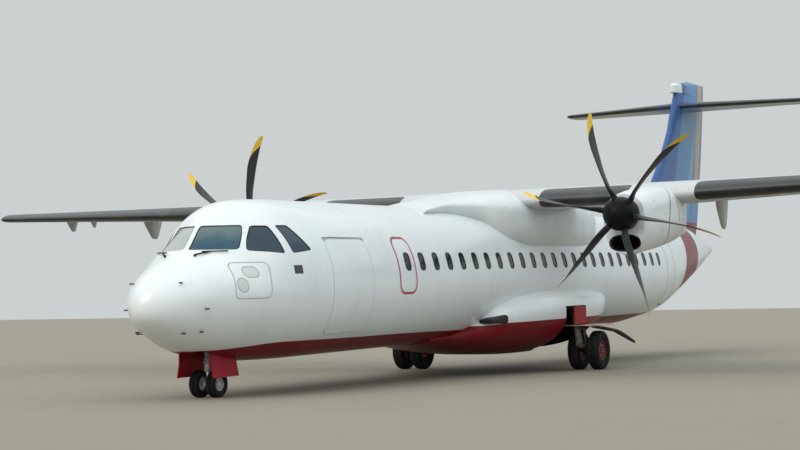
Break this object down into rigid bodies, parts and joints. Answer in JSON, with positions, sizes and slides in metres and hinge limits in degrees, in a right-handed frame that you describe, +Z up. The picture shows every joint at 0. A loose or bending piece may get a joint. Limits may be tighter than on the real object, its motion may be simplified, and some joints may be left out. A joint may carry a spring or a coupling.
{
  "type": "twin turboprop regional airliner",
  "caption": "High-wing turboprop airliner with a T-tail, parked on its gear: turning propellers and wheels, steered nose gear, hinged flight controls, flaps and doors.",
  "frame": {"origin": "on the ground, under the middle of the whole length and on the centre line", "axes": "+X towards the nose, +Y towards the left wing tip, +Z up"},
  "size_m": [27.1407, 27.05, 7.6223],
  "materials": {
    "fuselage_paint": "glossy white paint",
    "belly_paint": "glossy deep red paint",
    "wing_paint": "satin light grey paint",
    "tail_paint": "glossy blue paint that fades to sky blue",
    "cockpit_glass": "dark reflective glass",
    "propeller_blade": "satin dark grey composite",
    "spinner_paint": "near-black gloss",
    "engine_case": "cast casing",
    "gear_paint": "light grey enamel with bright rods",
    "wheel_hub": "red enamel hub",
    "tyre": "black rubber"
  },
  "bodies": {
    "root": {"fuselage": "fuselage_paint", "radome": "fuselage_paint", "cockpit_glazing": "cockpit_glass", "tail_cone": "fuselage_paint", "service_door": "fuselage_paint", "exit_hatch_left": "fuselage_paint", "exit_hatch_right": "fuselage_paint", "wing_root_fairing": "fuselage_paint", "belly_fairing": "belly_paint", "wing_center": "wing_paint", "wing_left": "wing_paint", "wing_right": "wing_paint", "nacelle_left": "fuselage_paint", "nacelle_right": "fuselage_paint", "engine_left": "engine_case", "engine_right": "engine_case", "fin": "tail_paint", "tailplane": "wing_paint", "main_leg_left": "gear_paint", "main_leg_right": "gear_paint", "main_leg_door_left": "belly_paint", "main_leg_door_right": "belly_paint", "main_bay_door_left": "belly_paint", "main_bay_door_right": "belly_paint", "nose_leg": "gear_paint", "nose_door_left": "belly_paint", "nose_door_right": "belly_paint"},
    "cargo_door": {"cargo_door": "fuselage_paint"},
    "passenger_door": {"passenger_door": "fuselage_paint"},
    "flap_inner_left": {"flap_inner_left": "wing_paint"},
    "flap_inner_right": {"flap_inner_right": "wing_paint"},
    "flap_outer_left": {"flap_outer_left": "wing_paint"},
    "flap_outer_right": {"flap_outer_right": "wing_paint"},
    "aileron_left": {"aileron_left": "wing_paint"},
    "aileron_right": {"aileron_right": "wing_paint"},
    "elevator_left": {"elevator_left": "wing_paint"},
    "elevator_right": {"elevator_right": "wing_paint"},
    "rudder": {"rudder": "tail_paint"},
    "propeller_left": {"spinner_left": "spinner_paint", "propeller_left": "propeller_blade"},
    "propeller_right": {"spinner_right": "spinner_paint", "propeller_right": "propeller_blade"},
    "main_wheels_left": {"main_wheels_left": "wheel_hub", "main_tyre_outer_left": "tyre", "main_tyre_inner_left": "tyre"},
    "main_wheels_right": {"main_wheels_right": "wheel_hub", "main_tyre_outer_right": "tyre", "main_tyre_inner_right": "tyre"},
    "nose_steering": {"nose_fork": "gear_paint"},
    "nose_wheels": {"nose_wheels": "wheel_hub", "nose_tyre_left": "tyre", "nose_tyre_right": "tyre"}
  },
  "joints": [
    {"name": "cargo_door_hinge", "type": "hinge", "parent": "root", "child": "cargo_door", "pos_m": [9.6929, 1.20972, 2.48444], "axis": [0.9997, -0.0145, -0.0208], "range_deg": [0, 110]},
    {"name": "passenger_door_hinge", "type": "hinge", "parent": "root", "child": "passenger_door", "pos_m": [-6.42949, 0.97045, 1.33302], "axis": [-0.9881, -0.1523, 0.0205], "range_deg": [0, 125]},
    {"name": "flap_inner_left_hinge", "type": "hinge", "parent": "root", "child": "flap_inner_left", "pos_m": [0.6739, 2.545, 3.54138], "axis": [0, -1, 0], "range_deg": [0, 35]},
    {"name": "flap_inner_right_hinge", "type": "hinge", "parent": "root", "child": "flap_inner_right", "pos_m": [0.6739, -2.545, 3.54138], "axis": [0, -1, 0], "range_deg": [0, 35]},
    {"name": "flap_outer_left_hinge", "type": "hinge", "parent": "root", "child": "flap_outer_left", "pos_m": [0.65045, 7.2, 3.60176], "axis": [0.009, -0.9997, -0.0232], "range_deg": [0, 35]},
    {"name": "flap_outer_right_hinge", "type": "hinge", "parent": "root", "child": "flap_outer_right", "pos_m": [0.65045, -7.2, 3.60176], "axis": [-0.009, -0.9997, 0.0232], "range_deg": [0, 35]},
    {"name": "aileron_left_hinge", "type": "hinge", "parent": "root", "child": "aileron_left", "pos_m": [0.57885, 11.44, 3.69966], "axis": [0.0064, -0.9997, -0.0233], "range_deg": [-14, 14]},
    {"name": "aileron_right_hinge", "type": "hinge", "parent": "root", "child": "aileron_right", "pos_m": [0.57885, -11.44, 3.69966], "axis": [-0.0064, -0.9997, 0.0233], "range_deg": [-14, 14]},
    {"name": "elevator_left_hinge", "type": "hinge", "parent": "root", "child": "elevator_left", "pos_m": [-12.42901, 1.935, 6.84181], "axis": [0.0687, -0.9976, -0.0014], "range_deg": [-23, 13]},
    {"name": "elevator_right_hinge", "type": "hinge", "parent": "root", "child": "elevator_right", "pos_m": [-12.42901, -1.935, 6.84181], "axis": [-0.0687, -0.9976, 0.0014], "range_deg": [-23, 13]},
    {"name": "rudder_hinge", "type": "hinge", "parent": "root", "child": "rudder", "pos_m": [-11.69633, 0, 3.46587], "axis": [-0.221, 0, 0.9753], "range_deg": [-27, 27]},
    {"name": "propeller_left_spin", "type": "hinge", "parent": "root", "child": "propeller_left", "pos_m": [4.41953, 4.05, 3.00307], "axis": [0.9998, 0, -0.0208], "continuous": true},
    {"name": "propeller_right_spin", "type": "hinge", "parent": "root", "child": "propeller_right", "pos_m": [4.41953, -4.05, 3.00307], "axis": [0.9998, 0, -0.0208], "continuous": true},
    {"name": "main_wheels_left_roll", "type": "hinge", "parent": "root", "child": "main_wheels_left", "pos_m": [1.06944, 2.05, 0.4], "axis": [0, 1, 0], "continuous": true},
    {"name": "main_wheels_right_roll", "type": "hinge", "parent": "root", "child": "main_wheels_right", "pos_m": [1.06944, -2.05, 0.4], "axis": [0, 1, 0], "continuous": true},
    {"name": "nose_steering_turn", "type": "hinge", "parent": "root", "child": "nose_steering", "pos_m": [11.83944, 0, 0.55], "axis": [0, 0, 1], "range_deg": [-60, 60]},
    {"name": "nose_wheels_roll", "type": "hinge", "parent": "nose_steering", "child": "nose_wheels", "pos_m": [11.83944, 0, 0.213], "axis": [0, 1, 0], "continuous": true}
  ],
  "couplings": [
    {"joint": "flap_inner_right_hinge", "follows": "flap_inner_left_hinge", "ratio": 1},
    {"joint": "flap_outer_left_hinge", "follows": "flap_inner_left_hinge", "ratio": 1},
    {"joint": "flap_outer_right_hinge", "follows": "flap_inner_left_hinge", "ratio": 1},
    {"joint": "aileron_right_hinge", "follows": "aileron_left_hinge", "ratio": -1},
    {"joint": "elevator_right_hinge", "follows": "elevator_left_hinge", "ratio": 1}
  ]
}
